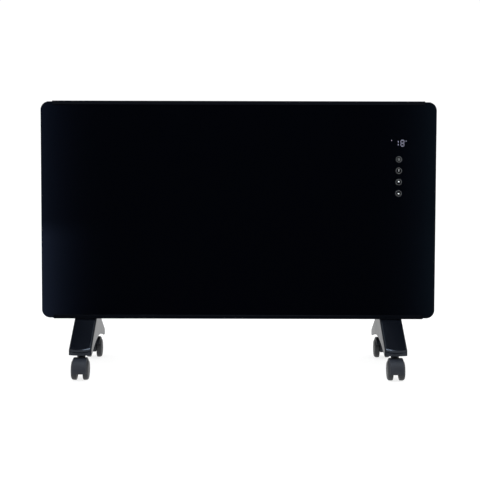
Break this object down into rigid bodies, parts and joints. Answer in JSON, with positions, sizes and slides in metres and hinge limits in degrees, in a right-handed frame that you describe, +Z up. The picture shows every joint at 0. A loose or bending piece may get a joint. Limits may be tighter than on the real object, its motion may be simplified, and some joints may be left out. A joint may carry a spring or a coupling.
{
  "type": "panel heater",
  "caption": "Flat electric convector heater with a black glass front, touch controls, arched feet and swivel casters.",
  "frame": {"origin": "on the floor, at the centre of the object's footprint", "axes": "+X to the right of someone facing the glass, +Y to the rear, +Z up"},
  "size_m": [0.8, 0.258, 0.5516],
  "materials": {
    "black_glass": "gloss",
    "black_rail": "satin",
    "casing_coat": "satin",
    "cap_plastic": "matte",
    "foot_plastic": "satin",
    "hood_plastic": "satin",
    "wheel_plastic": "matte",
    "zinc_steel": "satin",
    "black_steel": "satin",
    "bright_aluminium": "satin",
    "white_ceramic": "matte",
    "dark_plastic": "matte",
    "rocker_plastic": "gloss",
    "white_plastic": "matte",
    "yellow_plastic": "matte",
    "green_board": "satin",
    "grey_rubber": "matte"
  },
  "bodies": {
    "heater": {"glass_front": "black_glass", "top_rail": "black_rail", "bottom_rail": "black_rail", "rail_rivets": "zinc_steel", "rear_casing": "casing_coat", "top_grille": "casing_coat", "left_end_cap": "cap_plastic", "right_end_cap": "cap_plastic", "end_cap_screws": "black_steel", "wall_nuts": "zinc_steel", "partition_plate": "zinc_steel", "heat_reflector": "bright_aluminium", "reflector_spacers": "white_ceramic", "lower_element": "bright_aluminium", "upper_element": "bright_aluminium", "element_insulators": "white_ceramic", "left_element_bracket": "zinc_steel", "right_element_bracket": "zinc_steel", "thermal_cutout": "dark_plastic", "control_housing": "dark_plastic", "touch_board": "green_board", "touch_pads": "grey_rubber", "display_module": "dark_plastic", "power_board": "green_board", "board_standoffs": "white_plastic", "relays": "dark_plastic", "transformer": "yellow_plastic", "terminal_block": "white_plastic", "inner_leads": "grey_rubber", "display_ribbon": "grey_rubber", "cord_gland": "dark_plastic", "gland_nut": "dark_plastic", "switch_housing": "dark_plastic", "room_sensor": "white_plastic", "tip_over_switch": "dark_plastic", "foot_plates": "zinc_steel", "foot_screws": "zinc_steel", "left_foot": "foot_plastic", "right_foot": "foot_plastic", "front_left_stem": "zinc_steel", "front_right_stem": "zinc_steel", "rear_left_stem": "zinc_steel", "rear_right_stem": "zinc_steel"},
    "front_left_swivel": {"front_left_hood": "hood_plastic", "front_left_axle": "zinc_steel"},
    "front_left_outer_roller": {"front_left_outer_wheel": "wheel_plastic"},
    "front_left_inner_roller": {"front_left_inner_wheel": "wheel_plastic"},
    "front_right_swivel": {"front_right_hood": "hood_plastic", "front_right_axle": "zinc_steel"},
    "front_right_outer_roller": {"front_right_outer_wheel": "wheel_plastic"},
    "front_right_inner_roller": {"front_right_inner_wheel": "wheel_plastic"},
    "rear_left_swivel": {"rear_left_hood": "hood_plastic", "rear_left_axle": "zinc_steel"},
    "rear_left_outer_roller": {"rear_left_outer_wheel": "wheel_plastic"},
    "rear_left_inner_roller": {"rear_left_inner_wheel": "wheel_plastic"},
    "rear_right_swivel": {"rear_right_hood": "hood_plastic", "rear_right_axle": "zinc_steel"},
    "rear_right_outer_roller": {"rear_right_outer_wheel": "wheel_plastic"},
    "rear_right_inner_roller": {"rear_right_inner_wheel": "wheel_plastic"},
    "rocker": {"switch_rocker": "rocker_plastic"}
  },
  "joints": [
    {"name": "front_left_turn", "type": "hinge", "parent": "heater", "child": "front_left_swivel", "pos_m": [-0.3115, -0.0915, 0.04], "axis": [0, 0, 1], "continuous": true},
    {"name": "front_left_outer_roll", "type": "hinge", "parent": "front_left_swivel", "child": "front_left_outer_roller", "pos_m": [-0.3115, -0.1047, 0.02], "axis": [1, 0, 0], "continuous": true},
    {"name": "front_left_inner_roll", "type": "hinge", "parent": "front_left_swivel", "child": "front_left_inner_roller", "pos_m": [-0.3115, -0.1047, 0.02], "axis": [1, 0, 0], "continuous": true},
    {"name": "front_right_turn", "type": "hinge", "parent": "heater", "child": "front_right_swivel", "pos_m": [0.3115, -0.0915, 0.04], "axis": [0, 0, 1], "continuous": true},
    {"name": "front_right_outer_roll", "type": "hinge", "parent": "front_right_swivel", "child": "front_right_outer_roller", "pos_m": [0.3115, -0.1047, 0.02], "axis": [1, 0, 0], "continuous": true},
    {"name": "front_right_inner_roll", "type": "hinge", "parent": "front_right_swivel", "child": "front_right_inner_roller", "pos_m": [0.3115, -0.1047, 0.02], "axis": [1, 0, 0], "continuous": true},
    {"name": "rear_left_turn", "type": "hinge", "parent": "heater", "child": "rear_left_swivel", "pos_m": [-0.3115, 0.0915, 0.04], "axis": [0, 0, 1], "continuous": true},
    {"name": "rear_left_outer_roll", "type": "hinge", "parent": "rear_left_swivel", "child": "rear_left_outer_roller", "pos_m": [-0.3115, 0.1047, 0.02], "axis": [1, 0, 0], "continuous": true},
    {"name": "rear_left_inner_roll", "type": "hinge", "parent": "rear_left_swivel", "child": "rear_left_inner_roller", "pos_m": [-0.3115, 0.1047, 0.02], "axis": [1, 0, 0], "continuous": true},
    {"name": "rear_right_turn", "type": "hinge", "parent": "heater", "child": "rear_right_swivel", "pos_m": [0.3115, 0.0915, 0.04], "axis": [0, 0, 1], "continuous": true},
    {"name": "rear_right_outer_roll", "type": "hinge", "parent": "rear_right_swivel", "child": "rear_right_outer_roller", "pos_m": [0.3115, 0.1047, 0.02], "axis": [1, 0, 0], "continuous": true},
    {"name": "rear_right_inner_roll", "type": "hinge", "parent": "rear_right_swivel", "child": "rear_right_inner_roller", "pos_m": [0.3115, 0.1047, 0.02], "axis": [1, 0, 0], "continuous": true},
    {"name": "mains_rock", "type": "hinge", "parent": "heater", "child": "rocker", "pos_m": [0.3, 0.0327, 0.142], "axis": [-1, 0, 0], "range_deg": [0, 16]}
  ]
}
